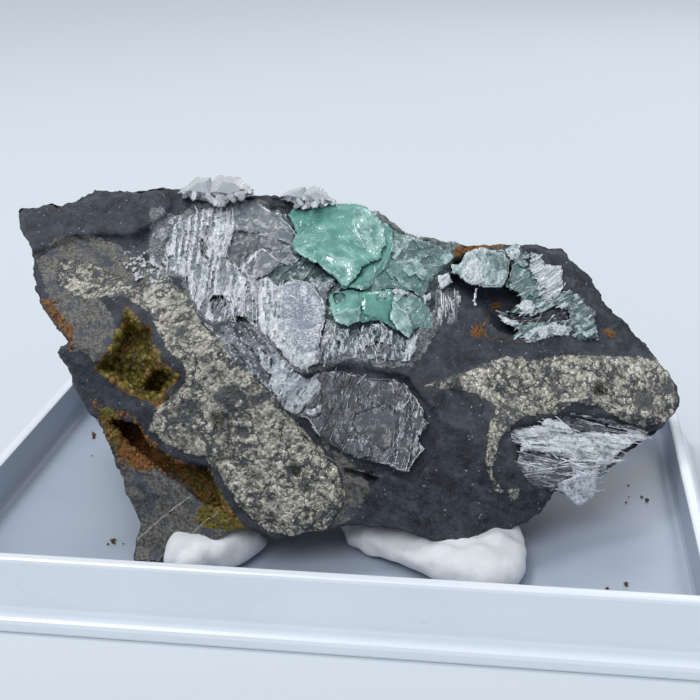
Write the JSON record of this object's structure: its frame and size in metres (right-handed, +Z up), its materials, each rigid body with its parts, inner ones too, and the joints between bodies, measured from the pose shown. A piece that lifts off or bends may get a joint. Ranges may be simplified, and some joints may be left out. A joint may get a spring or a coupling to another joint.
{
  "type": "phosphophyllite crystals on slate and pyrite matrix",
  "caption": "Dark slaty rock with pyrite and a pocket of blue-green and colourless bladed crystals, propped on putty in a shallow white box base.",
  "frame": {"origin": "bottom centre of the box base", "axes": "+X to the right along the box's front edge, +Y away from the front, +Z up"},
  "size_m": [0.093, 0.0588, 0.0406],
  "materials": {
    "slate_and_pyrite": "rough broken slate with grainy pyrite bands",
    "phosphophyllite": "glassy, see-through blue-green crystal faces",
    "clear_crystal": "glassy colourless crystal with white streaks",
    "pale_green_crystal": "pale, partly milky crystal",
    "dark_clear_plate": "clear cleavage face over dark rock",
    "white_fibre": "silky white fibrous crystal",
    "olive_crust": "shiny rounded iron-stained crust",
    "putty": "dull white putty",
    "white_plastic": "smooth white moulded plastic"
  },
  "bodies": {
    "root": {"matrix_rock": "slate_and_pyrite", "phosphophyllite_upper": "phosphophyllite", "phosphophyllite_lower": "phosphophyllite", "clear_blades": "clear_crystal", "back_crystals_left": "clear_crystal", "back_crystals_right": "clear_crystal", "pale_crystals": "pale_green_crystal", "bladed_crystals": "pale_green_crystal", "green_druse": "pale_green_crystal", "olive_blades": "dark_clear_plate", "cleavage_plate": "dark_clear_plate", "fibrous_crystals": "white_fibre", "vug_crust": "olive_crust", "putty_left": "putty", "putty_right": "putty", "box_base": "white_plastic"}
  },
  "joints": []
}
